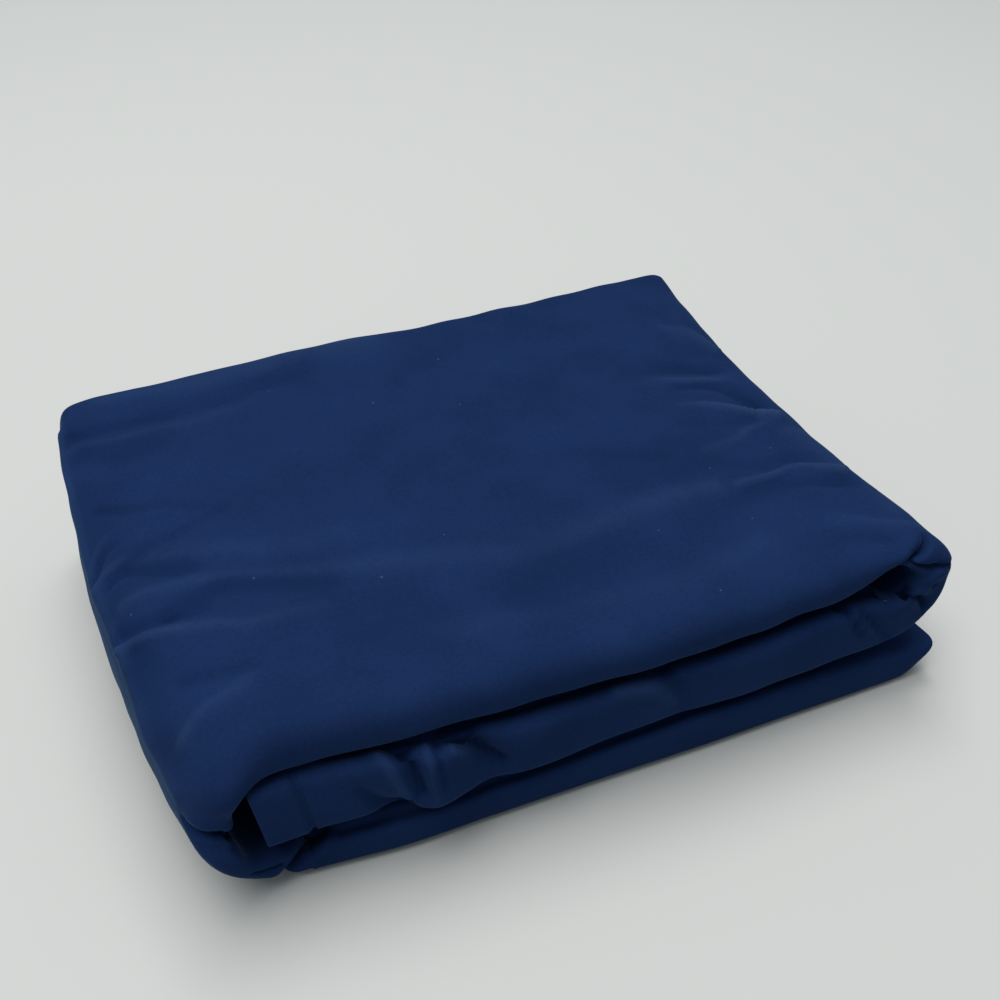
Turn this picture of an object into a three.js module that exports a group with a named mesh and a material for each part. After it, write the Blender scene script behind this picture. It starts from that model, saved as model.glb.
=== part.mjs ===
import * as THREE from 'three';

// Flat bed sheet, folded lengthwise into a strip and the strip then folded in three.
// Millimetres, +Z up. The origin is the middle of the footprint, on the surface that the pile rests on.
// The strip runs along X, and its layers turn round at the front, which is at -Y.

// Cloth: one ply of the solid stands for four plies of the thin cloth
const PLY = 2.4;
const HEM_WIDTH = 20;
const HEM_EXTRA = 1;
const HEM_STEP = 2;

// Depth of the folded strip, and the half length and half depth at which the tables below are read
const BACK = 146;
const NOSE = 20;
const HALF_LENGTH = 190;
const HALF_DEPTH = 148;

// Heights of the middle of the two upper panels, where the pile is neither high nor low
const TOP_HEIGHT = 81.5;
const MIDDLE_HEIGHT = 44;

// How far the two wraps bow out past the flat panels, to the middle of the strip
const LEFT_BOW = 32;
const RIGHT_BOW = 18;

// How far the lowest layers of the two upper panels sag behind the front edge, onto the layers under them,
// the depth in which the sag comes in, and the share of the panel's length in which it fades at its ends
const TOP_SAG = 8;
const MIDDLE_SAG = 4;
const SAG_DEPTH = 45;
const SAG_FADE = 0.12;

// Ends of the strip: x of each end, and how much further one face of the strip reaches than the other
const BOTTOM_END = 173;
const BOTTOM_STAGGER = 26;
const HEM_END = -152;
const HEM_SLANT = 8;

// Free edges inside the strip, set in from the back edge
const OUTER_EDGE_IN = 4;
const INNER_EDGE_IN = 10;

// The strip from its free end underneath to its hem: where each stretch starts, the strip's thickness and
// the y of its rounded front edge, and the number of steps in the stretch
const STRETCHES = [
  { name: 'bottom', thick: 22, front: -149, steps: 8 },
  { name: 'leftWrap', thick: 22, front: -147, steps: 13 },
  { name: 'top', thick: 24, front: -144, steps: 14 },
  { name: 'rightWrap', thick: 24, front: -146, steps: 12 },
  { name: 'middle', thick: 28, front: -147, steps: 12 },
  { name: 'hemEnd', thick: 32, front: -145, steps: 0 },
];

// Divisions of the ply across the strip, in the order in which it goes back and forth
const DIVISIONS = [
  { part: 'outer run below', count: 5 },
  { part: 'outer nose', count: 8 },
  { part: 'outer run above', count: 17 },
  { part: 'back fold', count: 3 },
  { part: 'inner run above', count: 4 },
  { part: 'inner nose', count: 4 },
  { part: 'inner run below', count: 4 },
];

// Left and right ends of the pile, how square its wraps are (2 is round), and how far the right one tucks in
const ENDS = {
  front: { left: -188, right: 189, leftSquare: 1.8, rightSquare: 2.4, tuckIn: 15 },
  middle: { left: -200, right: 183, leftSquare: 2.6, rightSquare: 2.7, tuckIn: 7 },
  back: { left: -197, right: 197, leftSquare: 4.5, rightSquare: 3.8, tuckIn: 0 },
};

// Height of the pile at its left end, centre and right end, as a share of its nominal height
const HEIGHTS = {
  front: { left: 1.01, centre: 0.91, right: 0.935 },
  middle: { left: 0.91, centre: 1.0, right: 0.89 },
  back: { left: 1.05, centre: 0.99, right: 1.01 },
};

// The front edge runs askew: it lies further back by this much at the left end, and further out at the
// right end
const FRONT_SKEW = 7.5;

// Soft ridges (rise above 0) and troughs on the top: a line from one x, y to another, its half width and
// its rise
const TOP_CREASES = [
  { x0: 95, y0: 4, x1: 162, y1: -18, width: 10, rise: 3 },
  { x0: 110, y0: 22, x1: 165, y1: 8, width: 12, rise: -2.5 },
  { x0: 30, y0: -64, x1: 160, y1: -78, width: 12, rise: 3 },
  { x0: 60, y0: -40, x1: 160, y1: -46, width: 14, rise: -2.5 },
  { x0: 130, y0: -106, x1: 165, y1: -120, width: 9, rise: 2 },
  { x0: -196, y0: -54, x1: -120, y1: -68, width: 10, rise: 3 },
  { x0: -196, y0: -34, x1: -140, y1: -42, width: 11, rise: -2.5 },
  { x0: -196, y0: 12, x1: -160, y1: 24, width: 9, rise: -2 },
  { x0: -190, y0: 104, x1: -110, y1: 92, width: 12, rise: 2.5 },
];

// Buckles in the front of the middle panel: x, half width, and how far the front is pushed in (out below 0)
const BAND_BUCKLES = [
  { x: -112, width: 9, depth: 7 },
  { x: -92, width: 8, depth: -4 },
  { x: -66, width: 8, depth: 5 },
  { x: 14, width: 14, depth: 4 },
];

// Tucks where a wrap turns at the front: angle round the wrap from level, half width, and depth of the tuck
const TUCKS = {
  leftWrap: [
    { angle: -58, width: 18, depth: 12 },
    { angle: 24, width: 12, depth: 5 },
  ],
  rightWrap: [
    { angle: 58, width: 13, depth: 5 },
    { angle: 0, width: 14, depth: 5 },
    { angle: -55, width: 16, depth: 9 },
  ],
};
const TUCK_REACH = 45;

const SHEET_BLUE = 0x1c3566;

const { clamp, lerp, smoothstep, radToDeg } = THREE.MathUtils;

// Smooth curve through a value at the low end (-1), the centre (0) and the high end (1)
function curveThrough(low, centre, high, place) {
  return centre + ((high - low) / 2) * place + ((high + low) / 2 - centre) * place * place;
}

// A column of a table with front, middle and back rows, read at a depth from -1 to 1
function fromFrontToBack(table, column, depth) {
  return curveThrough(table.front[column], table.middle[column], table.back[column], depth);
}

// A soft bump: 1 at its middle, fading out at about two half widths
function softBump(distance, halfWidth) {
  return Math.exp(-((distance / halfWidth) ** 2));
}

// Cosine or sine of a wrap's angle, bent towards a square corner
function squared(value, square) {
  return Math.sign(value) * Math.abs(value) ** (2 / square);
}

// One face of the ply across the strip, as points of y and of distance out from the strip's middle.
// It starts at a free edge inside the pile, turns round the front, folds over at the back, and ends at the
// other free edge. `face` is the distance of this face from the middle of the ply.
function plyFace(thick, front, face) {
  const outer = (thick - PLY) / 2;
  const pitch = (thick - PLY) / 3;
  const inner = outer - pitch;
  const noseStart = front + NOSE;
  const outerNose = NOSE - PLY / 2 + face;
  const innerNose = NOSE - PLY / 2 - pitch - face;
  const foldRadius = pitch / 2 + face;
  const foldStart = BACK - pitch / 2 - PLY / 2;
  const foldMiddle = outer - pitch / 2;
  const below = -Math.PI / 2;
  const above = Math.PI / 2;
  const point = (y, out) => new THREE.Vector2(y, out);
  const curves = [
    new THREE.LineCurve(point(BACK - OUTER_EDGE_IN, -outer - face), point(noseStart, -outer - face)),
    new THREE.EllipseCurve(noseStart, 0, outerNose, outer + face, below, above, true),
    new THREE.LineCurve(point(noseStart, outer + face), point(foldStart, outer + face)),
    new THREE.EllipseCurve(foldStart, foldMiddle, foldRadius, foldRadius, above, below, true),
    new THREE.LineCurve(point(foldStart, inner - face), point(noseStart, inner - face)),
    new THREE.EllipseCurve(noseStart, 0, innerNose, inner - face, above, below, false),
    new THREE.LineCurve(point(noseStart, face - inner), point(BACK - INNER_EDGE_IN, face - inner)),
  ];
  return curves.flatMap((curve, i) => curve.getPoints(DIVISIONS[i].count).slice(i === 0 ? 0 : 1));
}

// Where a point of the strip lies before creases: `along` runs from 0 to 1 in its stretch, and `out` is its
// distance from the middle of the strip towards the outer side
function stripPoint(stretch, along, thick, front, y, out) {
  const depth = clamp(y / HALF_DEPTH, -1, 1);
  const ends = (column) => fromFrontToBack(ENDS, column, depth);
  const bottomHeight = STRETCHES[0].thick / 2;
  const leftFlat = ends('left') + LEFT_BOW + STRETCHES[1].thick / 2;
  const rightFlat = ends('right') - RIGHT_BOW - STRETCHES[3].thick / 2;
  const middleStart = rightFlat - ends('tuckIn');
  if (stretch === 'bottom') {
    const end = BOTTOM_END - (BOTTOM_STAGGER * out) / thick;
    return { x: lerp(end, leftFlat, along), z: thick / 2 - out, up: 0 };
  }
  const behindFront = smoothstep(y, front + NOSE, front + NOSE + SAG_DEPTH);
  const startFade = smoothstep(along, 0, SAG_FADE);
  if (stretch === 'top') {
    const endFade = 1 - smoothstep(along, 1 - SAG_FADE, 1);
    const sag = TOP_SAG * behindFront * startFade * endFade * (0.5 - out / thick);
    return { x: lerp(leftFlat, rightFlat, along), z: TOP_HEIGHT + out - sag, up: 1 };
  }
  if (stretch === 'middle') {
    const end = HEM_END + (HEM_SLANT * out) / thick;
    const sag = MIDDLE_SAG * behindFront * startFade * (0.5 + out / thick);
    return { x: lerp(middleStart, end, along), z: MIDDLE_HEIGHT - out - sag, up: 0 };
  }
  const isLeft = stretch === 'leftWrap';
  const square = ends(isLeft ? 'leftSquare' : 'rightSquare');
  const angle = wrapAngle(stretch, along);
  const lowHeight = isLeft ? bottomHeight : MIDDLE_HEIGHT;
  const half = (TOP_HEIGHT - lowHeight) / 2;
  const flat = isLeft ? leftFlat : lerp(middleStart, rightFlat, (1 + Math.sin(angle)) / 2);
  const bow = isLeft ? -(LEFT_BOW + out) : RIGHT_BOW + out;
  return {
    x: flat + bow * squared(Math.cos(angle), square),
    z: lowHeight + half + (half + out) * squared(Math.sin(angle), square),
    up: Math.max(0, Math.sin(angle)),
  };
}

// Angle of a place in a wrap: straight down is a quarter turn below level, and straight up one above
function wrapAngle(stretch, along) {
  const turn = lerp(-Math.PI / 2, Math.PI / 2, along);
  return stretch === 'leftWrap' ? turn : -turn;
}

// Rise of the top at x, y, from every ridge and trough, each fading out towards its two ends
function topRise(x, y) {
  return TOP_CREASES.reduce((sum, { x0, y0, x1, y1, width, rise }) => {
    const length = Math.hypot(x1 - x0, y1 - y0);
    const share = ((x - x0) * (x1 - x0) + (y - y0) * (y1 - y0)) / length ** 2;
    const aside = ((x - x0) * (y1 - y0) - (y - y0) * (x1 - x0)) / length;
    const beyond = Math.max(0, -share, share - 1) * length;
    return sum + rise * softBump(aside, width) * softBump(beyond, 2 * width);
  }, 0);
}

// How far the front is pushed back at a place, by the middle panel's buckles or by a wrap's tucks
function frontPush(stretch, along, x) {
  if (stretch === 'middle') {
    return BAND_BUCKLES.reduce((sum, row) => sum + row.depth * softBump(x - row.x, row.width), 0);
  }
  const angle = wrapAngle(stretch, along);
  return (TUCKS[stretch] ?? []).reduce((sum, row) => {
    const aside = radToDeg(angle) - row.angle;
    return sum + row.depth * softBump(aside, row.width);
  }, 0);
}

// A finished point of the cloth, with the pile's uneven height, its skew, creases, buckles and tucks
function clothPoint(stretch, along, thick, front, y, out) {
  const { x, z, up } = stripPoint(stretch, along, thick, front, y, out);
  const across = clamp(x / HALF_LENGTH, -1, 1);
  const depth = clamp(y / HALF_DEPTH, -1, 1);
  const height = (column) => fromFrontToBack(HEIGHTS, column, depth);
  const share = curveThrough(height('left'), height('centre'), height('right'), across);
  const nearFront = 1 - smoothstep(y, front, front + TUCK_REACH);
  const skew = -FRONT_SKEW * across * Math.max(0, -depth);
  const finishedY = y + skew + frontPush(stretch, along, x) * nearFront;
  const inOuterPly = smoothstep(out, thick / 4, thick / 3);
  return new THREE.Vector3(x, finishedY, z * share + up * inOuterPly * topRise(x, y));
}

// Places along the strip where its section is set, with a step where the hem's extra thickness begins
function stationsAlongStrip() {
  const stations = [];
  STRETCHES.slice(0, -1).forEach((stretch, i) => {
    const next = STRETCHES[i + 1];
    for (let step = i === 0 ? 0 : 1; step <= stretch.steps; step += 1) {
      const along = step / stretch.steps;
      stations.push({ stretch: stretch.name, along, from: stretch, to: next, ply: PLY });
    }
  });
  const last = stations.pop();
  const middleLength = ENDS.middle.right - RIGHT_BOW - HEM_END;
  const hemStart = 1 - HEM_WIDTH / middleLength;
  const hemStep = HEM_STEP / middleLength;
  return [
    ...stations.filter((station) => station.stretch !== 'middle' || station.along < hemStart - hemStep),
    { ...last, along: hemStart },
    { ...last, along: hemStart + hemStep, ply: PLY + HEM_EXTRA },
    { ...last, ply: PLY + HEM_EXTRA },
  ];
}

// The closed loop of cloth points round the ply at one station: its outer face, then its inner face back
function ringAt({ stretch, along, from, to, ply }) {
  const thick = lerp(from.thick, to.thick, along);
  const front = lerp(from.front, to.front, along);
  const faces = [...plyFace(thick, front, ply / 2), ...plyFace(thick, front, -ply / 2).reverse()];
  return faces.map((p) => clothPoint(stretch, along, thick, front, p.x, p.y));
}

// One closed surface: the rings joined in turn, and the two cut ends of the ply closed between its faces
function foldedSheetGeometry() {
  const rings = stationsAlongStrip().map(ringAt);
  const size = rings[0].length;
  const triangles = [];
  const quad = (a, b, c, d) => triangles.push(a, b, c, a, c, d);
  for (let i = 0; i + 1 < rings.length; i += 1) {
    for (let j = 0; j < size; j += 1) {
      const next = (j + 1) % size;
      quad(i * size + j, (i + 1) * size + j, (i + 1) * size + next, i * size + next);
    }
  }
  const lastRing = (rings.length - 1) * size;
  for (let j = 0; j + 1 < size / 2; j += 1) {
    const opposite = size - 1 - j;
    quad(j, j + 1, opposite - 1, opposite);
    quad(lastRing + j, lastRing + opposite, lastRing + opposite - 1, lastRing + j + 1);
  }
  const geometry = new THREE.BufferGeometry().setFromPoints(rings.flat());
  geometry.setIndex(triangles);
  geometry.computeBoundingBox();
  const middle = geometry.boundingBox.getCenter(new THREE.Vector3());
  geometry.translate(-middle.x, -middle.y, 0);
  geometry.computeVertexNormals();
  return geometry;
}

const cotton = new THREE.MeshStandardMaterial({ color: SHEET_BLUE, roughness: 0.8, metalness: 0 });
const sheet = new THREE.Mesh(foldedSheetGeometry(), cotton);
sheet.name = 'flat_sheet';

const foldedSheet = new THREE.Group();
foldedSheet.add(sheet);

export default foldedSheet;
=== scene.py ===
import math
from collections import namedtuple

import bpy
import numpy as np
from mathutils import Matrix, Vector


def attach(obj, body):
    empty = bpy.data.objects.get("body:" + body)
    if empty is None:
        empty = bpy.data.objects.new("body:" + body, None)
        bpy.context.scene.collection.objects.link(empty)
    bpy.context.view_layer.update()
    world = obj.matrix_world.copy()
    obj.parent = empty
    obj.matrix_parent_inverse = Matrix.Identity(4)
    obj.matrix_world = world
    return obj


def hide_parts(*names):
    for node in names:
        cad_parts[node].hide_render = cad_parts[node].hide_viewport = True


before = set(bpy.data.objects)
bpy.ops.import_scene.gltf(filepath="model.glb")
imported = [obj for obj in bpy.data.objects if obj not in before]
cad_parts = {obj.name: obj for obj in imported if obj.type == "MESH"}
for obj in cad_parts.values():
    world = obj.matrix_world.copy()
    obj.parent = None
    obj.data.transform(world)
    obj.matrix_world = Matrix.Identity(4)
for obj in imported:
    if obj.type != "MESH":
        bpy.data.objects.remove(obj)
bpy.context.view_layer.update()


# Folded sheet: one panel of plain woven cotton, about 2.3 by 2.25 m, its ends turned over into hems. It is
# doubled end to end, the double cloth is folded to and fro in eight runs into a long strip, and the strip is
# folded in three: the bottom, a wrap at the left, the top, a wrap at the right, and the middle with the hem.

# The lengths of its shape are in millimetres, and those of its cloth's finish in metres. "along" runs along
# the strip from the doubling fold, "across" runs over the strip from its rounded front edge, and "out" runs
# from the middle of the strip to its outer side.
MM = 0.001

# The pile: half its length and depth, the height of the strip's middle in the top and middle thirds, how far
# the wraps bow out past the flat thirds, and the skew of the front
HALF_LENGTH = 190.0
HALF_DEPTH = 148.0
TOP_HEIGHT = 84.0
MIDDLE_HEIGHT = 50.5
LEFT_BOW = 32.0
RIGHT_BOW = 18.0
FRONT_SKEW = 7.5

# The top and the middle sag behind their rounded front edges, and the sag fades out towards the wraps
NOSE = 14.0
TOP_SAG = 8.0
MIDDLE_SAG = 4.0
SAG_DEPTH = 45.0
SAG_FADE = 0.12

# The strip's two ends: the free end of the bottom, where the plies are staggered, and the hem of the middle
BOTTOM_END = 171.0
BOTTOM_STAGGER = 30.0
HEM_END = -164.5
HEM_SLANT = 4.0

# Stretches of the strip: each one's length, its steps and how they crowd towards its end, and, at its start,
# the strip's thickness, the squareness of its front edge (2 is round) and how far that edge hangs inwards
Stretch = namedtuple("Stretch", "name length steps crowd thick square hang")
STRETCHES = (
    Stretch("bottom", 325, 80, 1.7, 28, 4.5, 0.0),
    Stretch("left_wrap", 115, 90, 1.0, 25, 3.2, 0.0),
    Stretch("top", 303, 145, 1.0, 25, 2.6, 0.15),
    Stretch("right_wrap", 66, 65, 1.0, 25, 2.6, 0.15),
    Stretch("middle", 299, 120, 1.5, 32, 5.0, 0.0),
)
STRIP_END = Stretch("hem_end", 0, 0, 1.0, 33, 6.0, 0.0)
STRIP_LENGTH = sum(stretch.length for stretch in STRETCHES)

# The pile's two ends at its front, middle and back: their x, the squareness of the wrap there, and how far
# the middle starts in from the top
Ends = namedtuple("Ends", "left right left_square right_square tuck_in")
FRONT_ENDS = Ends(-187.5, 178, 1.7, 2.2, 10)
MIDDLE_ENDS = Ends(-204, 180, 3.6, 3.2, 7)
BACK_ENDS = Ends(-197, 194.5, 6.5, 5.0, 0)

# The pile's uneven height at its front, middle and back, as shares
Heights = namedtuple("Heights", "left centre right")
FRONT_HEIGHTS = Heights(1.02, 0.92, 0.97)
MIDDLE_HEIGHTS = Heights(0.91, 1.0, 0.89)
BACK_HEIGHTS = Heights(1.02, 0.995, 0.99)

# Tucks push back the front of a wrap, at angles round it in degrees. Buckles push back the front of the
# middle, at places in x. Both fade out behind the front
Tuck = namedtuple("Tuck", "angle width depth")
TUCKS = {
    "left_wrap": (Tuck(15, 20, 4),),
    "right_wrap": (Tuck(58, 13, 2),),
}
Buckle = namedtuple("Buckle", "x width depth")
BUCKLES = (Buckle(-108, 12, 3), Buckle(-92, 8, -2), Buckle(-68, 10, 3), Buckle(24, 14, 2))
TUCK_REACH = 45.0


def between(low, high, share):
    """Value part of the way from one to another."""
    return low + (high - low) * share


def smooth(value, low, high):
    """0 below low, 1 above high, and a smooth rise between them."""
    share = np.clip((value - low) / (high - low), 0.0, 1.0)
    return share * share * (3.0 - 2.0 * share)


def bump(distance, half_width):
    """1 at the middle, fading out at about two half widths."""
    return np.exp(-((distance / half_width) ** 2))


def curve_through(low, centre, high, place):
    """Smooth curve through a value at -1, at 0 and at 1."""
    return centre + (high - low) / 2 * place + ((high + low) / 2 - centre) * place * place


def squared(value, square):
    """Cosine or sine of a wrap's angle, bent towards a square corner."""
    return np.sign(value) * np.abs(value) ** (2.0 / square)


def wrap_angle(name, share):
    """Angle round a wrap: straight down is a quarter turn below level, and straight up one above."""
    turn = (share - 0.5) * math.pi
    return turn if name == "left_wrap" else -turn


def strip_points(name, share, thick, front, y, out):
    """x and z of the strip before it settles."""
    depth = np.clip(y / HALF_DEPTH, -1.0, 1.0)
    ends = Ends(*(curve_through(*three, depth) for three in zip(FRONT_ENDS, MIDDLE_ENDS, BACK_ENDS)))
    bottom_height = STRETCHES[0].thick / 2
    left_flat = ends.left + LEFT_BOW + STRETCHES[1].thick / 2
    right_flat = ends.right - RIGHT_BOW - STRETCHES[3].thick / 2
    middle_start = right_flat - ends.tuck_in
    behind_front = smooth(y, front + NOSE, front + NOSE + SAG_DEPTH)
    if name == "bottom":
        end = BOTTOM_END - BOTTOM_STAGGER * out / thick
        return between(end, left_flat, share), thick / 2 - out
    if name == "top":
        fade = smooth(share, 0.0, SAG_FADE) * (1.0 - smooth(share, 1.0 - SAG_FADE, 1.0))
        sag = TOP_SAG * behind_front * fade * (0.5 - out / thick)
        return between(left_flat, right_flat, share), TOP_HEIGHT + out - sag
    if name == "middle":
        end = HEM_END + HEM_SLANT * out / thick
        sag = MIDDLE_SAG * behind_front * smooth(share, 0.0, SAG_FADE) * (0.5 + out / thick)
        return between(middle_start, end, share), MIDDLE_HEIGHT - out - sag
    is_left = name == "left_wrap"
    square = ends.left_square if is_left else ends.right_square
    angle = wrap_angle(name, share)
    low = bottom_height if is_left else MIDDLE_HEIGHT
    half = (TOP_HEIGHT - low) / 2
    flat = left_flat if is_left else middle_start + ends.tuck_in * (1.0 + np.sin(angle)) / 2
    bow = -(LEFT_BOW + out) if is_left else RIGHT_BOW + out
    x = flat + bow * squared(np.cos(angle), square)
    return x, low + half + (half + out) * squared(np.sin(angle), square)


def front_push(name, share, x):
    """How far the front is pushed back, by the middle's buckles or by a wrap's tucks."""
    if name == "middle":
        return sum(row.depth * bump(x - row.x, row.width) for row in BUCKLES)
    angle = np.degrees(wrap_angle(name, share))
    return sum(row.depth * bump(angle - row.angle, row.width) for row in TUCKS.get(name, ()))


def settled(name, share, thick, front, y, out):
    """Points of the cloth with the pile's uneven height, its skew front, its buckles and its tucks."""
    x, z = strip_points(name, share, thick, front, y, out)
    place = np.clip(x / HALF_LENGTH, -1.0, 1.0)
    depth = np.clip(y / HALF_DEPTH, -1.0, 1.0)
    heights = (curve_through(*three, depth) for three in zip(FRONT_HEIGHTS, MIDDLE_HEIGHTS, BACK_HEIGHTS))
    near_front = 1.0 - smooth(y, front, front + TUCK_REACH)
    skew = -FRONT_SKEW * place * np.maximum(0.0, -depth)
    push = front_push(name, share, x) * near_front
    return np.stack((x, y + skew + push, z * curve_through(*heights, place)), axis=-1)


# Runs of cloth across the strip, in order from the free edge underneath: the side of the strip that each
# lies on, its rank counted from that side's face, and the number of columns in it and in the fold after it
Run = namedtuple("Run", "side rank columns fold_columns")
RUNS = (
    Run(-1, 0, 24, 34),
    Run(1, 0, 132, 8),
    Run(1, 3, 10, 6),
    Run(-1, 3, 10, 4),
    Run(-1, 2, 10, 8),
    Run(1, 2, 10, 4),
    Run(1, 1, 10, 6),
    Run(-1, 1, 10, 0),
)

# The plies inside are evenly spread: this many of their gaps reach from the outermost to the strip's middle
PLY_SPREAD = 7.5

# The first run has a few wide columns at the back, where it lies hidden, and fine ones near the front edge
FIRST_FINE = 10
FINE_BACK = 45.0

# Distance across from the middle of the front edge to where the flat face starts
NOSE_REACH = 1.3 * NOSE

# The back: its y, how flat its folds are, how far in the folds of the lower side end, and, for a run with a
# free edge of the cloth, how far in that edge lies, a little more in the sheet's inner half
BACK = 146.0
BACK_SQUASH = 0.6
LOWER_BACK_IN = 6.0
FREE_EDGE_IN = {0: 4.0, 7: 10.0}
HALF_STAGGER = 2.0

# Room from the outer cloth to the plies inside, over a face and at the front edge. Both ends lie close
INSIDE_IN = 3.0
INSIDE_NOSE_IN = 9.0
END_IN = 0.6
END_NOSE_IN = 1.5
END_REACH = 30.0


def ply_rank(run, half):
    """Rank of a run's ply from the face of its side: half 0 of the sheet is outside at the strip's face."""
    outside = (RUNS[run].side < 0) == (run % 2 == 0)
    return 2 * RUNS[run].rank + (0 if outside == (half == 0) else 1)


def ply_level(rank, thick, inside_in):
    """Distance of a ply from the middle of the strip. Inner plies keep clear of the face's creases."""
    if rank == 0:
        return thick / 2
    return (thick / 2 - inside_in) * (1.0 - (rank - 1) / PLY_SPREAD)


def clearance(along):
    """Room from the outer cloth to the plies inside, over a face and at the front edge."""
    loose = smooth(along, 0.0, END_REACH) * (1.0 - smooth(along, STRIP_LENGTH - END_REACH, STRIP_LENGTH))
    return between(END_IN, INSIDE_IN, loose), between(END_NOSE_IN, INSIDE_NOSE_IN, loose)


def back_edge(index, thick, half):
    """y at the back where a run's fold starts, or where the cloth ends at a free edge."""
    if index in FREE_EDGE_IN:
        return BACK - FREE_EDGE_IN[index] - HALF_STAGGER * half
    lower_in = LOWER_BACK_IN if RUNS[index].side < 0 else 0.0
    return BACK - BACK_SQUASH * thick / 4 - lower_in


def run_line(index, nose_y, back_y):
    """y over a run of cloth, from the fold before it to the fold after it."""
    columns = RUNS[index].columns
    if index == 0:
        fine_y = nose_y + FINE_BACK
        coarse = np.linspace(back_y + 0.0 * nose_y, fine_y, FIRST_FINE + 1, axis=-1)[:, 0, :]
        fine = np.linspace(fine_y, nose_y, columns - FIRST_FINE + 1, axis=-1)[:, 0, :]
        return np.concatenate((coarse, fine[:, 1:]), axis=1)
    share = np.linspace(0.0, 1.0, columns + 1)[None, :]
    return between(nose_y, back_y, share) if index % 2 else between(back_y, nose_y, share)


def section(along, thick, front, square, hang, half):
    """y, out and across of the cloth over the strip, with a row for each station."""
    inside_in, nose_in = clearance(along)
    nose_y = front + NOSE
    levels = [run.side * ply_level(ply_rank(k, half), thick, inside_in) for k, run in enumerate(RUNS)]
    parts = []
    for index, run in enumerate(RUNS):
        out = levels[index]
        back_y = back_edge(index, thick, half)
        y = run_line(index, nose_y, back_y)
        side = -1.0 if index == 0 else 1.0
        parts.append((y, out, side * (y - nose_y + NOSE_REACH)))
        if run.fold_columns == 0:
            continue
        turn = np.linspace(0.0, math.pi, run.fold_columns + 1)[None, :]
        if index % 2 == 0:
            reach = NOSE
            if ply_rank(index, half) > 0:
                reach = (NOSE - nose_in) * np.abs(out) / (thick / 2 - inside_in)
            radius = (np.abs(np.cos(turn)) ** square + np.abs(np.sin(turn)) ** square) ** (-1.0 / square)
            forward = radius * np.sin(turn)
            fold_out = out * radius * np.cos(turn) - hang * np.abs(out) * forward * forward
            parts.append((nose_y - reach * forward, fold_out, (turn / math.pi - 0.5) * 2.0 * NOSE_REACH))
        else:
            other = levels[index + 1]
            radius = (out - other) / 2
            fold_y = back_y + BACK_SQUASH * np.abs(radius) * np.sin(turn)
            fold_out = (out + other) / 2 + radius * np.cos(turn)
            parts.append((fold_y, fold_out, fold_y - nose_y + NOSE_REACH))
    # Each part starts where the one before it ends, so that place is kept once
    filled = [np.stack(np.broadcast_arrays(*part)) for part in parts]
    return np.concatenate([filled[0]] + [part[:, :, 1:] for part in filled[1:]], axis=2)


# y of the strip's front edge at places along it
FRONT_LINE = (
    (0, -142.5), (63, -141.5), (128, -140.5), (185, -138.5), (239, -137), (289, -135.5), (310, -133),
    (328, -131), (348, -133), (366, -137), (388, -136), (405, -138), (421, -132), (446, -132), (480, -134),
    (518, -136), (554, -138), (592, -140), (632, -141), (651, -140.5), (685, -140), (715, -138.5),
    (735, -139), (752, -143), (770, -145), (790, -144), (809, -142.5), (850, -143), (900, -142.5),
    (950, -141), (1001, -142.5), (1034, -143), (1048, -144), (1064, -138.5), (1087, -135), (1108, -134.5),
)

# Places along the strip where it is squeezed thinner from its inner side, by a share of its thickness. Below
# 0 it is puffed up
Pinch = namedtuple("Pinch", "along width share")
PINCHES = (
    Pinch(0, 70, 0.25),
    Pinch(362, 30, 0.45),
    Pinch(408, 18, 0.4),
    Pinch(600, 100, 0.1),
    Pinch(700, 40, 0.1),
    Pinch(734, 15, 0.5),
    Pinch(840, 36, -0.1),
    Pinch(1108, 110, -0.12),
)

# The hem stands a little proud of the cloth, is turned in round its edge, and sinks where it is stitched
HEM_WIDTH = 20.0
HEM_EASE = 1.5
HEM_LIFT = 0.6
HEM_TURN = 0.45
HEM_ROWS = 5
STITCH_IN = 1.6
STITCH_DEPTH = 0.6
STITCH_HALF_WIDTH = 1.2
Station = namedtuple("Station", "stretch share along thick front square hang shift")


def through_knots(knots, place):
    """Smooth curve through pairs of place and value."""
    places, values = np.array(knots, dtype=float).T
    slopes = np.gradient(values, places)
    k = int(np.clip(np.searchsorted(places, place) - 1, 0, len(places) - 2))
    step = places[k + 1] - places[k]
    share = (place - places[k]) / step
    rest = 1.0 - share
    start = values[k] * rest * rest * (1.0 + 2.0 * share)
    end = values[k + 1] * share * share * (1.0 + 2.0 * rest)
    return float(start + end + step * share * rest * (slopes[k] * rest - slopes[k + 1] * share))


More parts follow.
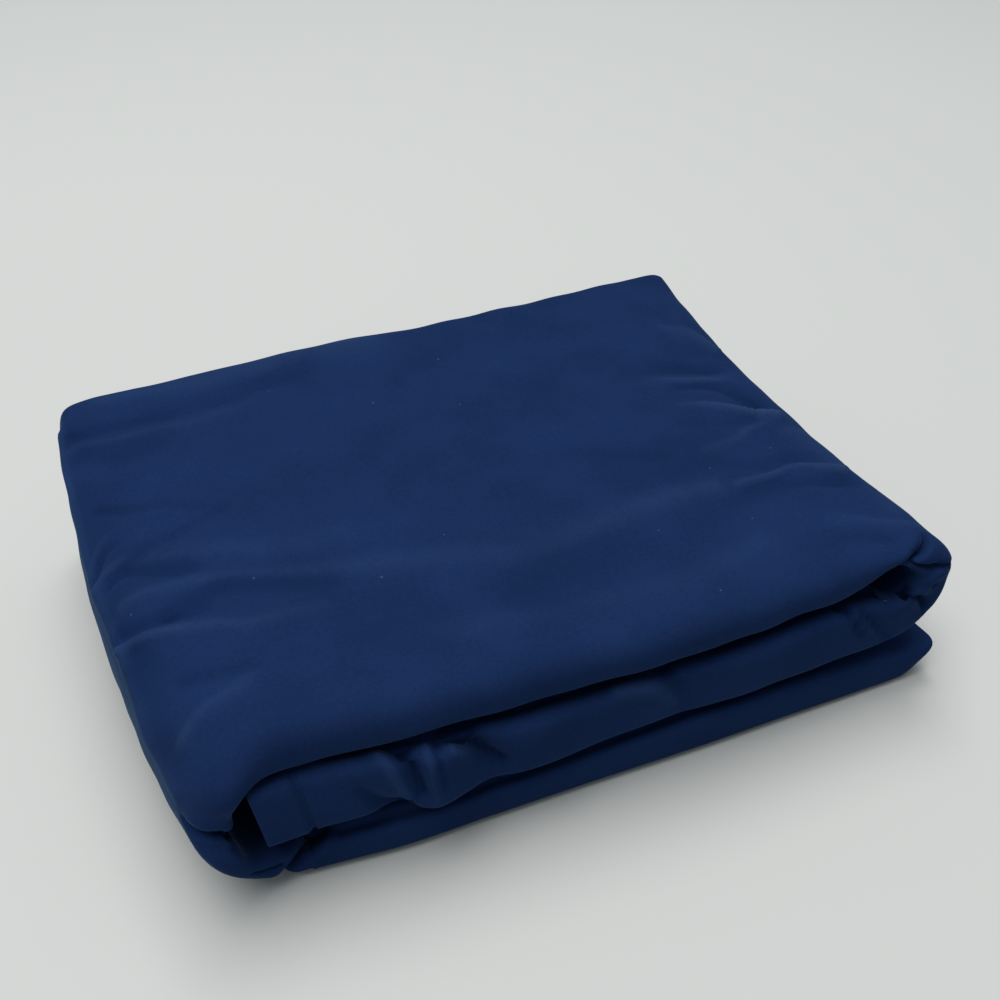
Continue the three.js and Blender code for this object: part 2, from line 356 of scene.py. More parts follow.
def stations():
    """Places along the strip, with the hem's lift, its stitched groove, its edge and its turned-in part."""
    rows = []
    start = 0.0
    for index, stretch in enumerate(STRETCHES):
        following = (*STRETCHES, STRIP_END)[index + 1]
        for step in range(0 if index == 0 else 1, stretch.steps + 1):
            share = 1.0 - (1.0 - step / stretch.steps) ** stretch.crowd
            along = start + share * stretch.length
            from_end = STRIP_LENGTH - along
            hem = 1.0 - smooth(from_end, HEM_WIDTH - HEM_EASE, HEM_WIDTH + HEM_EASE)
            groove = STITCH_DEPTH * bump(from_end - HEM_WIDTH + STITCH_IN, STITCH_HALF_WIDTH)
            lift = HEM_LIFT * hem - groove
            full = between(stretch.thick, following.thick, share)
            lost = full * sum(row.share * bump(along - row.along, row.width) for row in PINCHES)
            front = through_knots(FRONT_LINE, along) - lift
            square = between(stretch.square, following.square, share)
            hang = between(stretch.hang, following.hang, share)
            thick = full - lost + 2.0 * lift
            rows.append(Station(index, share, along, thick, front, square, hang, lost / 2))
        start += stretch.length
    edge = rows[-1]
    length = STRETCHES[-1].length
    for step in range(1, HEM_ROWS + 1):
        turn = math.pi * step / HEM_ROWS
        drop = HEM_TURN * (1.0 - math.cos(turn))
        share = 1.0 + HEM_TURN * math.sin(turn) / length
        rows.append(edge._replace(share=share, thick=edge.thick - 2.0 * drop, front=edge.front + drop))
    inner = rows[-1]
    for step in range(1, HEM_ROWS + 1):
        rows.append(inner._replace(share=1.0 - HEM_WIDTH * step / HEM_ROWS / length))
    return rows


def lay_half(rows, half):
    """Points, distances along and distances across of one half of the doubled sheet."""
    parts = []
    for index, stretch in enumerate(STRETCHES):
        chosen = np.array([row[1:] for row in rows if row.stretch == index])
        share, along, thick, front, square, hang, shift = chosen.T[:, :, None]
        y, out, across = section(along, thick, front, square, hang, half)
        points = settled(stretch.name, share, thick + 2.0 * shift, front, y, out + shift)
        parts.append((points, along + 0.0 * y, across))
    return (np.concatenate(part) for part in zip(*parts))


all_rows = stations()
outer, outer_along, outer_across = lay_half(all_rows, 0)

# Creases of the outer cloth: soft ridges (rise above 0) and troughs, each along a line of places on the
# cloth, given as pairs of along and across, with its half width and its rise at either end. Their rise also
# sets painted highlight on the ridges and painted shade in the troughs, in the cloth's colour
Crease = namedtuple("Crease", "line width0 width1 rise0 rise1")

# The right of the top, which runs over into the right wrap
TOP_RIGHT_CREASES = (
    Crease(((740, 229), (744, 223), (747, 213), (749, 205), (751, 197)), 3.2, 3.2, 1.0, 2.8),
    Crease(((700, 186), (724, 182), (743, 178)), 7.0, 5.0, -1.0, -3.6),
    Crease(((694, 176), (710, 173), (725, 168), (741, 165)), 5.0, 3.0, 0.1, 2.4),
    Crease(((716, 163), (740, 157), (745, 147), (746, 137)), 2.8, 4.5, -1.8, -4.4),
    Crease(((708, 147), (722, 142), (737, 131), (747, 123)), 2.6, 2.8, 1.2, 4.8),
    Crease(((700, 131), (718, 128), (737, 121)), 6.0, 5.0, -0.6, -1.6),
    Crease(((741, 118), (732, 115), (719, 109), (700, 107)), 2.8, 4.0, 1.8, 0.8),
    Crease(((586, 139), (631, 131), (675, 112)), 8.0, 7.0, -0.6, -1.8),
    Crease(((686, 100), (703, 94), (721, 84), (739, 86)), 6.0, 5.0, -0.8, -2.4),
    Crease(((570, 70), (615, 77), (642, 81), (684, 81)), 9.0, 6.0, 1.0, 1.4),
    Crease(((697, 77), (716, 76), (731, 80), (740, 78), (749, 71)), 3.0, 2.6, 1.8, 3.0),
    Crease(((684, 66), (705, 69), (727, 67), (747, 63)), 5.0, 4.5, -0.8, -3.0),
    Crease(((712, 37), (732, 33), (744, 27), (751, 23)), 5.0, 2.6, 0.2, 1.5),
    Crease(((704, 26), (722, 22), (738, 16)), 6.0, 4.0, -0.8, -2.0),
    Crease(((520, 39), (571, 34), (616, 32), (662, 34), (684, 38)), 8.0, 8.0, 0.6, 0.7),
    Crease(((560, 54), (600, 56), (650, 56)), 14.0, 12.0, -1.2, -1.2),
    Crease(((748, 108), (750, 92), (752, 60), (753, 34)), 4.0, 5.0, 1.4, 1.4),
)

# The left of the top, which runs up out of the left wrap
TOP_LEFT_CREASES = (
    Crease(((470, 300), (560, 300)), 22.0, 22.0, 2.5, 3.5),
    Crease(((407, 268), (405, 205), (404, 150), (404, 100)), 5.0, 5.0, 2.4, 1.2),
    Crease(((404, 100), (399, 80), (395, 50), (393, 25)), 5.0, 4.0, 1.2, 1.2),
    Crease(((412, 247), (425, 243), (439, 238), (458, 237), (482, 240), (506, 250)), 2.6, 5.0, 1.1, 0.5),
    Crease(((414, 258), (426, 252), (440, 250), (484, 253), (530, 264)), 4.5, 9.0, -2.4, -1.4),
    Crease(((424, 235), (440, 221)), 6.0, 7.0, -1.4, -0.8),
    Crease(((438, 274), (463, 272), (506, 273)), 5.0, 8.0, 1.2, 0.6),
    Crease(((423, 190), (447, 173), (464, 160)), 2.6, 3.0, -2.2, -1.0),
    Crease(((426, 143), (436, 150), (450, 156), (466, 164)), 3.0, 4.0, -2.0, -0.6),
    Crease(((410, 164), (416, 166), (424, 168)), 2.4, 2.6, 1.2, 0.6),
    Crease(((405, 156), (416, 160), (428, 161)), 2.4, 2.6, -3.6, -1.0),
    Crease(((405, 150), (417, 149), (428, 147)), 2.4, 2.8, 1.2, 1.4),
    Crease(((414, 142), (427, 139), (441, 125)), 3.0, 3.5, -2.6, -2.6),
    Crease(((416, 121), (432, 117), (447, 112), (467, 103), (499, 94), (523, 87), (560, 80)),
           3.6, 9.0, 1.3, 0.8),
    Crease(((432, 99), (448, 104), (468, 96), (490, 86)), 4.5, 5.5, -2.6, -1.8),
    Crease(((404, 108), (415, 99), (426, 90), (439, 82), (451, 75), (464, 75), (482, 72)),
           2.6, 5.0, 2.6, 0.8),
    Crease(((407, 112), (420, 102), (437, 95)), 4.0, 4.0, -2.8, -1.8),
    Crease(((410, 94), (420, 75), (428, 64)), 8.0, 8.0, -1.6, -0.8),
    Crease(((410, 36), (421, 36), (433, 38), (442, 44)), 3.5, 4.0, 1.8, 0.8),
    Crease(((422, 58), (432, 52), (444, 48)), 4.0, 4.0, -2.0, -1.4),
    Crease(((440, 138), (470, 125), (505, 118)), 8.0, 10.0, 0.8, 0.5),
)

# Front edges: first the shaded gaps along the middle and the bottom, then the puckers of the middle
FRONT_CREASES = (
    Crease(((820, -18), (880, -17), (960, -17), (1030, -18), (1075, -18)), 3.0, 3.0, -3.0, -3.0),
    Crease(((72, -14), (140, -13), (220, -11), (312, -10)), 1.8, 2.6, -1.4, -3.2),
    Crease(((1067, -2), (1064, 2), (1061, 6), (1052, 9)), 2.6, 4.0, -2.0, -5.0),
    Crease(((1047, -18), (1046, -8), (1044, 3)), 4.2, 2.4, -6.5, -4.5),
    Crease(((1036, -17), (1038, -9), (1039, -3), (1040, 6)), 2.2, 2.2, 1.3, 1.2),
    Crease(((1033, -15), (1035, -7), (1035, 1)), 1.8, 1.8, -2.8, -1.8),
    Crease(((1025, -18), (1019, -12), (1014, -4), (1008, 2)), 5.0, 2.6, -7.0, -4.5),
    Crease(((1028, -11), (1024, -8), (1016, -2), (1009, 5)), 1.8, 2.0, 2.0, 1.0),
    Crease(((951, -11), (939, -9), (931, -6), (924, 1)), 2.8, 2.6, 1.8, 1.4),
    Crease(((927, -14), (921, -5), (918, 4)), 4.0, 3.5, -2.6, -1.4),
    Crease(((834, -14), (828, -6), (825, 0)), 2.2, 2.0, -4.4, -2.2),
    Crease(((825, -9), (818, -4), (807, 6)), 2.0, 2.0, -2.8, -1.6),
    Crease(((829, -9), (820, -1)), 2.0, 2.0, 2.0, 1.6),
    Crease(((1057, -14), (1053, -6), (1050, 3)), 2.4, 2.2, 1.6, 2.0),
)

# Tucked corners at the front of the left wrap and of the right one, and last the hem's stitched line
CORNER_CREASES = (
    Crease(((385, 18), (385, 12), (385, 2), (380, -10), (374, -18)), 1.5, 2.6, -4.5, -8.0),
    Crease(((338, 11), (336, 3), (333, -2), (327, -8), (319, -15)), 2.4, 3.8, -5.5, -12.0),
    Crease(((381, 14), (380, 8), (379, 0), (374, -9)), 2.8, 3.4, -1.2, -2.4),
    Crease(((354, 0), (342, -3)), 1.2, 1.5, -2.4, -3.0),
    Crease(((751, 15), (744, 8), (737, -4)), 1.4, 1.9, -5.5, -7.0),
    Crease(((767, 9), (755, 2), (744, -2), (737, -5)), 1.2, 1.8, -3.0, -5.5),
    Crease(((779, -22), (766, -17)), 5.0, 4.5, -6.0, -6.0),
    Crease(((814, -34), (790, -32), (765, -30), (745, -28)), 13.0, 13.0, -5.0, -5.0),
    Crease(((789, 6), (782, -3), (774, -13)), 1.6, 3.4, -2.2, -8.0),
    Crease(((761, -6), (772, 0)), 2.2, 2.2, -1.2, -1.2),
    Crease(((820, -19), (812, -15), (803, -12)), 3.0, 2.6, -3.5, -2.5),
    Crease(((775, 6), (782, 4), (789, 3)), 8.0, 8.0, -2.4, -2.0),
    Crease(((1089.6, -16), (1089.6, 16)), 1.0, 1.0, -1.6, -1.6),
)
CREASES = TOP_RIGHT_CREASES + TOP_LEFT_CREASES + FRONT_CREASES + CORNER_CREASES
CREASE_STEP = 5.0

# Small swells between the creases, of many lengths and headings. The cloth lies flat on the floor, up to
# where it rises into the left wrap
UNEVEN_SEED = 11
UNEVEN_LENGTHS = (23, 28, 34, 42, 53, 66, 84, 105)
UNEVEN_RISE = 0.15
FLOOR_RISE = (310, 340)

# How late a trough slows down before it reaches the plies inside, and the least length of a face's normal
HOLD_POWER = 4
LEAST_NORMAL = 1e-9


def rounded(line):
    """Closer places along a smooth curve through a crease's places."""
    line = np.array(line, dtype=float)
    reached = np.concatenate(([0.0], np.cumsum(np.linalg.norm(np.diff(line, axis=0), axis=1))))
    places = np.linspace(0.0, reached[-1], 2 + int(reached[-1] / CREASE_STEP))
    sides = [np.column_stack((reached, side)) for side in line.T]
    return np.array([[through_knots(side, place) for side in sides] for place in places])


def crease_rise(along, across):
    """Rise of the creases at places on the outer cloth."""
    total = np.zeros_like(along)
    for row in CREASES:
        line = rounded(row.line)
        nearest = np.full_like(along, np.inf)
        place = np.zeros_like(along)
        for k, (start, step) in enumerate(zip(line[:-1], np.diff(line, axis=0))):
            share = ((along - start[0]) * step[0] + (across - start[1]) * step[1]) / (step @ step)
            share = np.clip(share, 0.0, 1.0)
            aside = np.hypot(along - start[0] - share * step[0], across - start[1] - share * step[1])
            place = np.where(aside < nearest, (k + share) / (len(line) - 1), place)
            nearest = np.minimum(aside, nearest)
        width = between(row.width0, row.width1, place)
        total += between(row.rise0, row.rise1, place) * bump(nearest, width)
    return total


def uneven(along, across):
    """Small swells of the cloth between its creases."""
    draw = np.random.default_rng(UNEVEN_SEED)
    total = np.zeros_like(along)
    for length in UNEVEN_LENGTHS:
        heading, phase = draw.uniform(0.0, 2.0 * math.pi, 2)
        walked = along * math.cos(heading) + across * math.sin(heading)
        total += np.sin(walked * 2.0 * math.pi / length + phase)
    on_floor = (1.0 - smooth(along, *FLOOR_RISE)) * smooth(across, -NOSE, 0.0)
    return total * UNEVEN_RISE * (1.0 - on_floor)


def held_clear(rise, along, across):
    """Rise of the cloth, with its troughs held clear of the plies inside."""
    face_room, nose_room = clearance(along)
    room = between(nose_room, face_room, smooth(np.abs(across), NOSE_REACH / 2, NOSE_REACH))
    depth = np.maximum(0.0, -rise) / room
    return rise / (1.0 + depth ** HOLD_POWER) ** (1.0 / HOLD_POWER)


def outward(points):
    """Unit normals of a grid of points, pointing out of the folded strip."""
    normals = np.cross(np.gradient(points, axis=0), np.gradient(points, axis=1))
    return normals / np.maximum(np.linalg.norm(normals, axis=-1, keepdims=True), LEAST_NORMAL)


# The creases lift the cloth of the front edge and of both faces beside it. The plies inside have no creases,
# and are marked as deep as a trough, which gives them painted shade in the cloth's colour
INSIDE_SHADE_DEPTH = -4.5
face_first = RUNS[0].columns + RUNS[0].fold_columns
face_last = face_first + RUNS[1].columns + RUNS[1].fold_columns
face_columns = np.s_[FIRST_FINE:face_last + 1]
face = np.s_[:, face_columns]
relief = np.full_like(outer_along, INSIDE_SHADE_DEPTH)
relief[face] = crease_rise(outer_along[face], outer_across[face])
lift = relief[face] + uneven(outer_along[face], outer_across[face])
lift = held_clear(lift, outer_along[face], outer_across[face])
outer[face] += outward(outer[face]) * lift[..., None]

# Every row is kept over the front edge and a few columns past it, and over the outer face where it shows.
# Elsewhere every tenth row is kept, and those round the turn of the hem
ROW_RATIO = 10
EDGE_REACH = 8
SHOWN_STRETCHES = ("left_wrap", "top", "right_wrap")
last_row = len(all_rows) - 1
hem_edge_row = last_row - 2 * HEM_ROWS
hem_turn_rows = np.arange(hem_edge_row - 1, hem_edge_row + HEM_ROWS + 1)
kept_rows = np.unique(np.concatenate((np.arange(0, last_row, ROW_RATIO), hem_turn_rows, [last_row])))
shown = [k for k, row in enumerate(all_rows) if STRETCHES[row.stretch].name in SHOWN_STRETCHES]
first_shown = shown[0] // ROW_RATIO * ROW_RATIO
last_shown = math.ceil(shown[-1] / ROW_RATIO) * ROW_RATIO
columns = outer.shape[1]
kept = np.zeros((len(all_rows), columns), dtype=bool)
kept[:, FIRST_FINE:face_first + EDGE_REACH] = True
kept[first_shown:last_shown + 1, face_columns] = True
kept[kept_rows] = True

# The sheet's inner half has no fine rows. The doubling fold at the strip's free end joins it to the outer
# half by a small round turn, with rows at shares of that turn
DOUBLING_TURNS = (0.25, 0.5, 0.75)
DOUBLING_SIDE = np.array((1.0, 0.0, 0.0))
inner, inner_along, _ = lay_half([all_rows[k] for k in kept_rows], 1)
middle = (outer[0] + inner[0]) / 2
arm = (outer[0] - inner[0]) / 2
reach = np.linalg.norm(arm, axis=-1, keepdims=True)
turn_rows = []
for turn in DOUBLING_TURNS:
    bulge = DOUBLING_SIDE * reach * math.sin(turn * math.pi)
    turn_rows.append(middle + arm * math.cos(turn * math.pi) + bulge)
inner = np.concatenate((np.array(turn_rows), inner))
inner_along = np.concatenate((np.zeros((len(turn_rows), columns)), inner_along))

outer_count = np.count_nonzero(kept)
number = np.full(kept.shape, -1)
number[kept] = np.arange(outer_count)
inner_number = np.arange(inner.shape[0] * columns).reshape(-1, columns) + outer_count


def kept_numbers(low, high, column):
    """Numbers of a column's kept points between two rows."""
    span = np.s_[low:high + 1, column]
    return number[span][kept[span]].tolist()


faces = []
for low, high in zip(kept_rows[:-1], kept_rows[1:]):
    for column in range(columns - 1):
        here = kept_numbers(low, high, column)
        beside = kept_numbers(low, high, column + 1)
        if len(here) == len(beside):
            faces.extend(zip(here[:-1], beside[:-1], beside[1:], here[1:]))
            continue
        # Beside a coarse column, the fine rows fan out to its two ends
        is_fine_here = len(here) > len(beside)
        fine, coarse = (here, beside) if is_fine_here else (beside, here)
        half_way = len(fine) // 2
        fans = [(coarse[0], fine[k + 1], fine[k]) for k in range(half_way)]
        fans.append((coarse[0], coarse[1], fine[half_way]))
        fans += [(coarse[1], fine[k + 1], fine[k]) for k in range(half_way, len(fine) - 1)]
        faces.extend(fans if is_fine_here else [fan[::-1] for fan in fans])

doubled = np.concatenate((number[:1], inner_number))
quads = (doubled[:-1, :-1], doubled[1:, :-1], doubled[1:, 1:], doubled[:-1, 1:])
faces.extend(map(tuple, np.stack(quads, axis=-1).reshape(-1, 4).tolist()))

# The pile stands on the floor at the place that the solid has
SET_OVER = (5.14, 1.38)
vertices = np.concatenate((outer[kept], inner.reshape(-1, 3)))
moved = np.array([*SET_OVER, -vertices[:, 2].min()])
vertices += moved


def add_object(name, data):
    """New object at the origin."""
    added = bpy.data.objects.new(name, data)
    bpy.context.collection.objects.link(added)
    return added


sheet_mesh = bpy.data.meshes.new("folded_sheet")
sheet_mesh.from_pydata((vertices * MM).tolist(), [], faces)
sheet_mesh.polygons.foreach_set("use_smooth", [True] * len(sheet_mesh.polygons))
sheet_mesh.update()
sheet = add_object("folded_sheet", sheet_mesh)


def spread(points):
    """Distance over the cloth, from the free edge underneath."""
    steps = np.linalg.norm(np.diff(points, axis=1), axis=-1)
    return np.concatenate((np.zeros((len(points), 1)), np.cumsum(steps, axis=1)), axis=1)


# Marks on the cloth: its place on the sheet spread flat, as a share of a square FLAT_SPAN metres wide, and
# how far a crease lifts or sinks it, from -1 to 1, which sets its painted highlight and shade
FLAT_SPAN = 2.5
FULL_RELIEF = 6.0
flat_along = np.concatenate((outer_along[kept], -inner_along.ravel())) + STRIP_LENGTH
flat_across = np.concatenate((spread(outer)[kept], spread(inner).ravel()))
flat_places = np.column_stack((flat_along, flat_across)) * MM / FLAT_SPAN
corners = np.empty(len(sheet_mesh.loops), dtype=int)
sheet_mesh.loops.foreach_get("vertex_index", corners)
sheet_mesh.uv_layers.new(name="spread_flat").uv.foreach_set("vector", flat_places[corners].ravel())
# Painted highlight and shade: paler where a crease lifts the cloth, darker where it sinks, dark on the plies
# inside
crease_light_values = np.full(len(vertices), INSIDE_SHADE_DEPTH / FULL_RELIEF)
crease_light_values[:outer_count] = np.clip(relief[kept] / FULL_RELIEF, -1.0, 1.0)
sheet_mesh.attributes.new("painted_crease_light", "FLOAT", "POINT").data.foreach_set("value", crease_light_values)


def add_node(tree, kind, inputs, **settings):
    """New node with its settings, and its inputs set, or linked where a socket is given."""
    node = tree.nodes.new(kind)
    for name, value in settings.items():
        setattr(node, name, value)
    for name, value in inputs.items():
        if isinstance(value, bpy.types.NodeSocket):
            tree.links.new(value, node.inputs[name])
        else:
            node.inputs[name].default_value = value
    return node


def add_range(tree, value, from_span, to_span):
    """Value carried over from one span to another, and held inside it."""
    inputs = {"Value": value}
    inputs.update(zip(("From Min", "From Max", "To Min", "To Max"), (*from_span, *to_span)))
    return add_node(tree, "ShaderNodeMapRange", inputs).outputs["Result"]


def add_math(tree, operation, first, second):
    """Sum, product or comparison of two values."""
    return add_node(tree, "ShaderNodeMath", {0: first, 1: second}, operation=operation).outputs[0]


def add_material(name):
    """New material, its node tree and its shader."""
    material = bpy.data.materials.new(name)
    material.use_nodes = True
    return material, material.node_tree, material.node_tree.nodes["Principled BSDF"]


def set_finish(shader, values):
    """Values that are the same all over, on the shader's own sockets."""
    for name, value in values.items():
        shader.inputs[name].default_value = value


# Dye takes a little unevenly: wide soft patches and a fine grain of paler and darker yarn
NOISE_SPAN = (0.3, 0.7)
PATCH_DETAIL = 3.0
PATCH_TONES = (0.9, 1.1)
GRAIN_DETAIL = 2.0
GRAIN_TONES = (0.93, 1.07)
DYE_SOCKETS = (
    ("INPUT", "Colour", "NodeSocketColor"),
    ("INPUT", "Patch scale", "NodeSocketFloat"),
    ("INPUT", "Grain scale", "NodeSocketFloat"),
    ("OUTPUT", "Colour", "NodeSocketColor"),
    ("OUTPUT", "Grain", "NodeSocketFloat"),
)
dye = bpy.data.node_groups.new("uneven_dye", "ShaderNodeTree")
for in_out, name, kind in DYE_SOCKETS:
    dye.interface.new_socket(name, in_out=in_out, socket_type=kind)
dye_in = add_node(dye, "NodeGroupInput", {}).outputs
dye_place = add_node(dye, "ShaderNodeTexCoord", {}).outputs["Object"]
patch = add_node(dye, "ShaderNodeTexNoise", {
    "Vector": dye_place,
    "Scale": dye_in["Patch scale"],
    "Detail": PATCH_DETAIL,
}).outputs["Fac"]
grain = add_node(dye, "ShaderNodeTexNoise", {
    "Vector": dye_place,
    "Scale": dye_in["Grain scale"],
    "Detail": GRAIN_DETAIL,
}).outputs["Fac"]
patch_tone = add_range(dye, patch, NOISE_SPAN, PATCH_TONES)
grain_tone = add_range(dye, grain, NOISE_SPAN, GRAIN_TONES)
tone = add_math(dye, "MULTIPLY", patch_tone, grain_tone)
toned = add_node(dye, "ShaderNodeVectorMath", {0: dye_in["Colour"], "Scale": tone}, operation="SCALE")
add_node(dye, "NodeGroupOutput", {"Colour": toned.outputs["Vector"], "Grain": grain})


def add_dye(tree, colour, patch_scale, grain_scale):
    """The dye in a material, with its base colour set or linked."""
    inputs = {"Colour": colour, "Patch scale": patch_scale, "Grain scale": grain_scale}
    return add_node(tree, "ShaderNodeGroup", inputs, node_tree=dye).outputs


# Cloth colour: its own navy where the cloth lies flat, with painted highlight along the creases that stand
# up, and painted shade in those that sink and on the plies inside
CREASE_LIGHT_TONES = (
    (0.0, (0.0031, 0.0079, 0.0286)),
    (0.25, (0.0071, 0.0185, 0.0632)),
    (0.5, (0.0093, 0.0232, 0.0765)),
    (0.75, (0.0180, 0.0385, 0.1040)),
    (1.0, (0.0260, 0.0530, 0.1300)),
)
CLOTH_PATCH_SCALE = 26.0
CLOTH_GRAIN_SCALE = 620.0
sheet_cloth, cloth, cloth_shader = add_material("sheet_cloth")
crease_light_mark = add_node(cloth, "ShaderNodeAttribute", {}, attribute_name="painted_crease_light").outputs["Fac"]
crease_light_share = add_range(cloth, crease_light_mark, (-1.0, 1.0), (0.0, 1.0))
crease_light_ramp = add_node(cloth, "ShaderNodeValToRGB", {"Fac": crease_light_share})
stops = crease_light_ramp.color_ramp.elements
while len(stops) < len(CREASE_LIGHT_TONES):
    stops.new(0.5)
for stop, (place, colour) in zip(stops, CREASE_LIGHT_TONES):
    stop.position = place
    stop.color = (*colour, 1.0)
# The dye's uneven patches and grain, laid over the cloth's colour with its painted highlight and shade
dye_and_crease_light = add_dye(cloth, crease_light_ramp.outputs["Color"], CLOTH_PATCH_SCALE, CLOTH_GRAIN_SCALE)

# A few pale specks of lint, of many sizes, on the cloth that isn't sunk. Most places have none
LINT_SPACING = 0.045
LINT_HALF_WIDTH = 0.0007
LINT_DRAWN = (0.55, 1.0)
LINT_KEPT = (-0.2, -0.1)
LINT_TONE = (0.035, 0.055, 0.105, 1.0)
flat_place = add_node(cloth, "ShaderNodeUVMap", {}, uv_map="spread_flat").outputs["UV"]
flat_metres = add_node(cloth, "ShaderNodeVectorMath", {
    0: flat_place,
    "Scale": FLAT_SPAN,
}, operation="SCALE").outputs["Vector"]
lint = add_node(cloth, "ShaderNodeTexVoronoi", {
    "Vector": flat_metres,
    "Scale": 1.0 / LINT_SPACING,
}, voronoi_dimensions="2D").outputs
lint_draw = add_node(cloth, "ShaderNodeSeparateColor", {"Color": lint["Color"]}).outputs["Red"]
lint_width = add_range(cloth, lint_draw, LINT_DRAWN, (0.0, LINT_HALF_WIDTH / LINT_SPACING))
lint_kept = add_range(cloth, crease_light_mark, LINT_KEPT, (0.0, 1.0))
lint_width = add_math(cloth, "MULTIPLY", lint_width, lint_kept)
lint_mask = add_math(cloth, "LESS_THAN", lint["Distance"], lint_width)
cloth_colour = add_node(cloth, "ShaderNodeMix", {
    "Factor": lint_mask,
    "A": dye_and_crease_light["Colour"],
    "B": LINT_TONE,
}, data_type="RGBA").outputs["Result"]

# Plain weave of fine yarn, with the dye's grain as its nap. At scale 1 a wave's bands are WAVE_BAND wide
YARN_PITCH = 0.0006
YARN_WAVER = 1.5
YARN_DETAIL = 1.0
WAVE_BAND = math.pi / 10.0
WEAVE_STRENGTH = 0.15
WEAVE_DEPTH = 0.0002
weave = dye_and_crease_light["Grain"]
for direction in ("X", "Y"):
    yarn = add_node(cloth, "ShaderNodeTexWave", {
        "Vector": flat_metres,
        "Scale": WAVE_BAND / YARN_PITCH,
        "Distortion": YARN_WAVER,
        "Detail": YARN_DETAIL,
    }, bands_direction=direction).outputs["Fac"]
    weave = add_math(cloth, "ADD", weave, yarn)
weave_bump = add_node(cloth, "ShaderNodeBump", {
    "Height": weave,
    "Strength": WEAVE_STRENGTH,
    "Distance": WEAVE_DEPTH,
}).outputs["Normal"]

CLOTH_ROUGHNESS = (0.7, 0.8)
CLOTH_FINISH = {
    "Specular IOR Level": 0.0,
    "Sheen Weight": 0.12,
    "Sheen Roughness": 0.3,
    "Sheen Tint": (0.45, 0.72, 1.0, 1.0),
}
roughness = add_range(cloth, dye_and_crease_light["Grain"], NOISE_SPAN, CLOTH_ROUGHNESS)
cloth.links.new(cloth_colour, cloth_shader.inputs["Base Color"])
cloth.links.new(roughness, cloth_shader.inputs["Roughness"])
cloth.links.new(weave_bump, cloth_shader.inputs["Normal"])
set_finish(cloth_shader, CLOTH_FINISH)
sheet_mesh.materials.append(sheet_cloth)

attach(sheet, "root")
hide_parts("flat_sheet")


# Hem stitches: a row of lockstitch in sewing thread dyed with the cloth. It holds the turned hem near its
# inner edge, and sinks a little into the cloth. It is laid over the front edge and the outer face, where the
# hem lies outermost, and its sizes are in millimetres.
STITCH_PITCH = 3.2
STITCH_LENGTH = 2.5
STITCH_WIDTH = 0.7
STITCH_PROUD = 0.1
stitch_along = STRIP_LENGTH - HEM_WIDTH + STITCH_IN
stitch_row = min(range(hem_edge_row + 1), key=lambda k: abs(all_rows[k].along - stitch_along))
stitch_places = (outer[face] + outward(outer[face]) * STITCH_PROUD)[stitch_row] + moved
stitch_mesh = bpy.data.meshes.new("stitch_line")
stitch_edges = [(k, k + 1) for k in range(len(stitch_places) - 1)]
stitch_mesh.from_pydata((stitch_places * MM).tolist(), stitch_edges, [])
stitches = add_object("hem_stitches", stitch_mesh)

THREAD_COLOUR = (0.0080, 0.0200, 0.0660, 1.0)
THREAD_PATCH_SCALE = 90.0
THREAD_GRAIN_SCALE = 2400.0
THREAD_GRAIN_DEPTH = 0.0001
THREAD_FINISH = {"Roughness": 0.6, "Specular IOR Level": 0.1}
hem_thread, thread, thread_shader = add_material("hem_thread")
thread_dye = add_dye(thread, THREAD_COLOUR, THREAD_PATCH_SCALE, THREAD_GRAIN_SCALE)
thread_bump = add_node(thread, "ShaderNodeBump", {
    "Height": thread_dye["Grain"],
    "Distance": THREAD_GRAIN_DEPTH,
}).outputs["Normal"]
thread.links.new(thread_dye["Colour"], thread_shader.inputs["Base Color"])
thread.links.new(thread_bump, thread_shader.inputs["Normal"])
set_finish(thread_shader, THREAD_FINISH)

# Each stitch is a round bead of unit width, drawn out to the stitch's size and laid along the line
BEAD = {"Segments": 8, "Rings": 6, "Radius": 0.5}
stitching = bpy.data.node_groups.new("stitching", "GeometryNodeTree")
stitching.interface.new_socket("Line", in_out="INPUT", socket_type="NodeSocketGeometry")
stitch_values = {}
for name, kind, value in (
    ("Pitch", "NodeSocketFloat", STITCH_PITCH * MM),
    ("Length", "NodeSocketFloat", STITCH_LENGTH * MM),
    ("Width", "NodeSocketFloat", STITCH_WIDTH * MM),
    ("Thread", "NodeSocketMaterial", hem_thread),
):
    socket = stitching.interface.new_socket(name, in_out="INPUT", socket_type=kind)
    stitch_values[socket.identifier] = value
stitching.interface.new_socket("Stitches", in_out="OUTPUT", socket_type="NodeSocketGeometry")
given = add_node(stitching, "NodeGroupInput", {}).outputs
path = add_node(stitching, "GeometryNodeMeshToCurve", {"Mesh": given["Line"]}).outputs["Curve"]
spaced = add_node(stitching, "GeometryNodeResampleCurve", {
    "Curve": path,
    "Length": given["Pitch"],
}, mode="LENGTH").outputs["Curve"]
bead = add_node(stitching, "GeometryNodeMeshUVSphere", BEAD).outputs["Mesh"]
size = add_node(stitching, "ShaderNodeCombineXYZ", {
    "X": given["Length"],
    "Y": given["Width"],
    "Z": given["Width"],
}).outputs["Vector"]
heading = add_node(stitching, "GeometryNodeInputTangent", {}).outputs["Tangent"]
turned = add_node(stitching, "FunctionNodeAlignRotationToVector", {"Vector": heading}, axis="X")
laid = add_node(stitching, "GeometryNodeInstanceOnPoints", {
    "Points": spaced,
    "Instance": bead,
    "Rotation": turned.outputs["Rotation"],
    "Scale": size,
}).outputs["Instances"]
joined = add_node(stitching, "GeometryNodeRealizeInstances", {"Geometry": laid}).outputs["Geometry"]
dyed = add_node(stitching, "GeometryNodeSetMaterial", {"Geometry": joined, "Material": given["Thread"]})
add_node(stitching, "NodeGroupOutput", {"Stitches": dyed.outputs["Geometry"]})

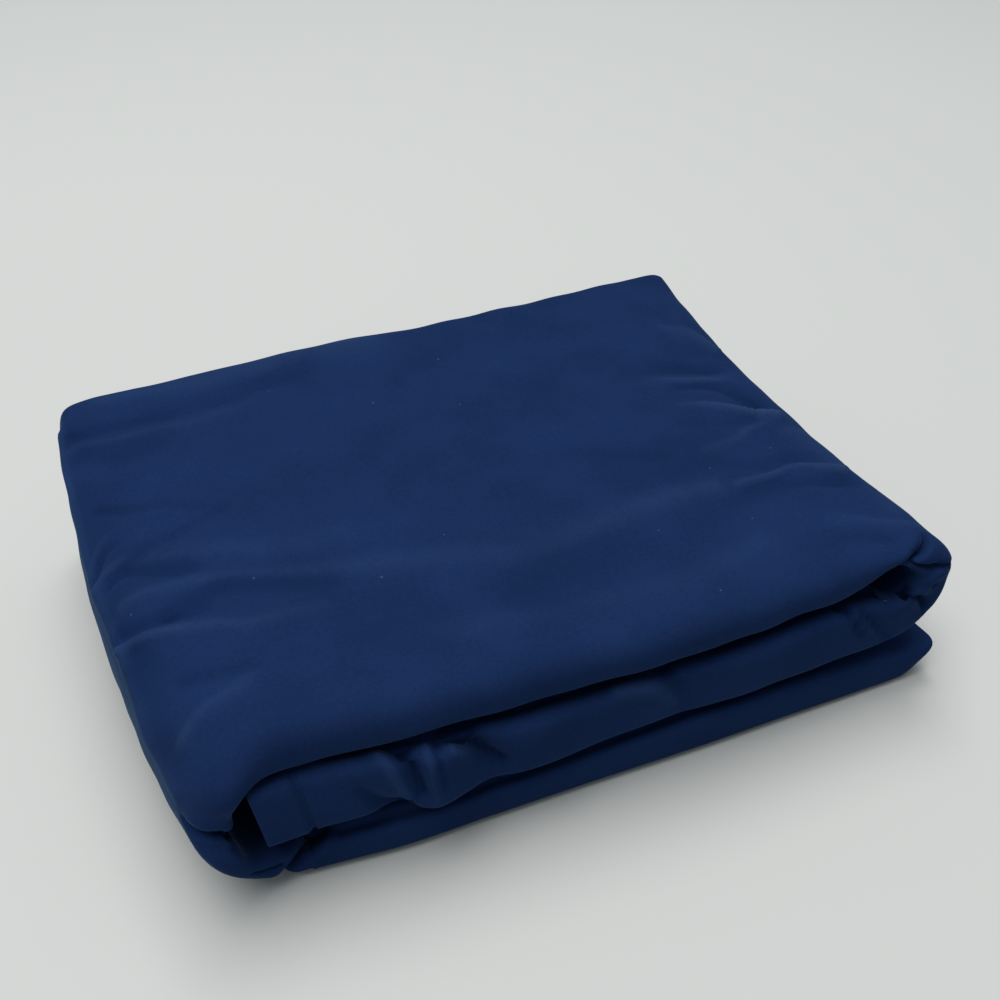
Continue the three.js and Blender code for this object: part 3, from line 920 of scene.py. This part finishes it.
stitcher = stitches.modifiers.new("stitching", "NODES")
stitcher.node_group = stitching
for identifier, value in stitch_values.items():
    stitcher[identifier] = value
graph = bpy.context.evaluated_depsgraph_get()
sewn_mesh = bpy.data.meshes.new_from_object(stitches.evaluated_get(graph))
stitches.modifiers.remove(stitcher)
stitches.data = sewn_mesh
sewn_mesh.polygons.foreach_set("use_smooth", [True] * len(sewn_mesh.polygons))
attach(stitches, "root")


# Floor: a plain pale table top, painted matt, on which the pile lies loose.
# It is wide enough to fill the camera's view.
FLOOR_HALF = 4.0
FLOOR_FINISH = {"Base Color": (0.555, 0.555, 0.53, 1.0), "Roughness": 0.9}
FLOOR_CORNERS = ((-1, -1), (1, -1), (1, 1), (-1, 1))
floor_mesh = bpy.data.meshes.new("floor")
floor_mesh.from_pydata([(x * FLOOR_HALF, y * FLOOR_HALF, 0.0) for x, y in FLOOR_CORNERS], [], [(0, 1, 2, 3)])
floor = add_object("floor", floor_mesh)
floor_paint, _, floor_shader = add_material("floor_paint")
set_finish(floor_shader, FLOOR_FINISH)
floor_mesh.materials.append(floor_paint)


# Light: one wide soft panel high overhead, a little behind the pile and to its left, turned towards it.
# A pale room all round fills the shadows.
PANEL_PLACE = Vector((-0.4, 0.4, 3.6))
PANEL_LENGTH = 4.8
PANEL_WIDTH = 1.8
PANEL_POWER = 162.0
ROOM_FINISH = {"Color": (0.8, 0.92, 1.0, 1.0), "Strength": 0.32}
panel_light = bpy.data.lights.new("soft_panel", "AREA")
panel_light.shape = "RECTANGLE"
panel_light.size = PANEL_LENGTH
panel_light.size_y = PANEL_WIDTH
panel_light.energy = PANEL_POWER
panel = add_object("soft_panel", panel_light)
panel.location = PANEL_PLACE
panel.rotation_euler = (-PANEL_PLACE).to_track_quat("-Z", "Y").to_euler()

room = bpy.data.worlds.new("pale_room")
room.use_nodes = True
set_finish(room.node_tree.nodes["Background"], ROOM_FINISH)
bpy.context.scene.world = room
bpy.context.scene.view_settings.view_transform = "Standard"


# Camera: looks down on the front left of the pile from a short way off. The angles are in degrees, the
# target and the distance in metres, and the sensor and the lens in millimetres.
CAMERA_AZIMUTH = math.radians(-25.68)
CAMERA_ELEVATION = math.radians(38.0)
CAMERA_TARGET = Vector((0.045, 0.0798, 0.0))
CAMERA_DISTANCE = 0.6677
SENSOR_WIDTH = 36.0
LENS = 38.16
camera_data = bpy.data.cameras.new("camera")
camera_data.sensor_width = SENSOR_WIDTH
camera_data.lens = LENS
camera = add_object("camera", camera_data)
towards_camera = Vector((
    math.sin(CAMERA_AZIMUTH) * math.cos(CAMERA_ELEVATION),
    -math.cos(CAMERA_AZIMUTH) * math.cos(CAMERA_ELEVATION),
    math.sin(CAMERA_ELEVATION),
))
camera.location = CAMERA_TARGET + towards_camera * CAMERA_DISTANCE
camera.rotation_euler = (-towards_camera).to_track_quat("-Z", "Y").to_euler()
bpy.context.scene.camera = camera
